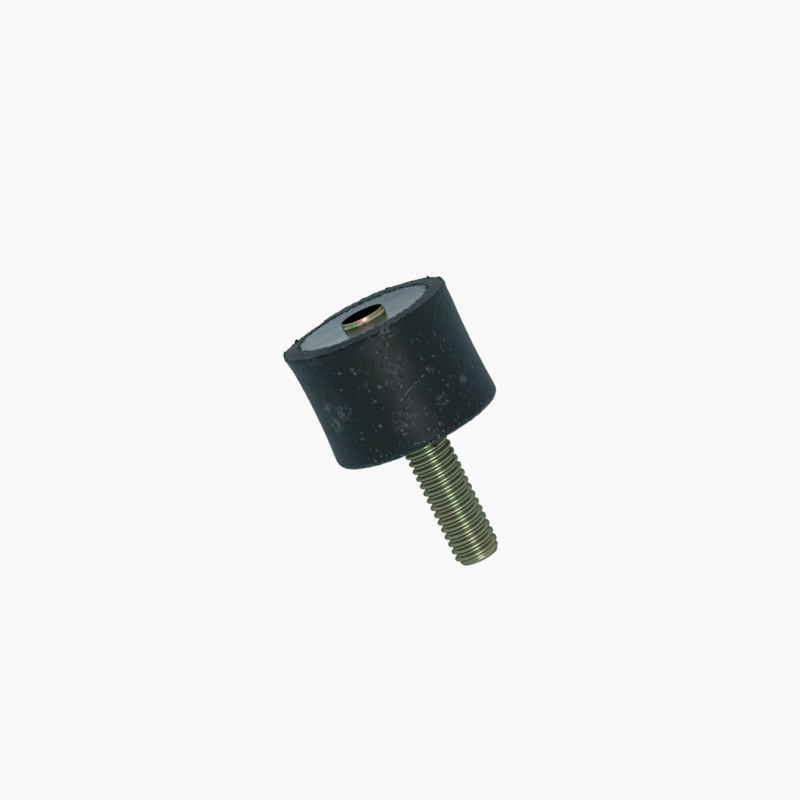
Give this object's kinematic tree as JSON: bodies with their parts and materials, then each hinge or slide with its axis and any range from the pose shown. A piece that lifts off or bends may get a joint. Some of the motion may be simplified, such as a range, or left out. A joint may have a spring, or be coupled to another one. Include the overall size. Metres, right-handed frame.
{
  "type": "bobbin vibration mount",
  "caption": "Cylindrical rubber vibration mount with bonded steel end plates, a threaded stud at one end and a tapped bush at the other.",
  "frame": {"origin": "centre of the base plate's outer face, where the stud leaves it", "axes": "+Z along the mount's axis, from the stud towards the tapped bush"},
  "size_m": [0.0298, 0.0298, 0.0467],
  "materials": {
    "rubber": "matt moulded rubber",
    "plate_steel": "grey phosphated sheet steel",
    "passivated_steel": "yellow passivated zinc plating"
  },
  "bodies": {
    "root": {"rubber_body": "rubber", "top_plate": "plate_steel", "threaded_bush": "passivated_steel", "base_plate": "plate_steel", "threaded_stud": "passivated_steel"}
  },
  "joints": []
}
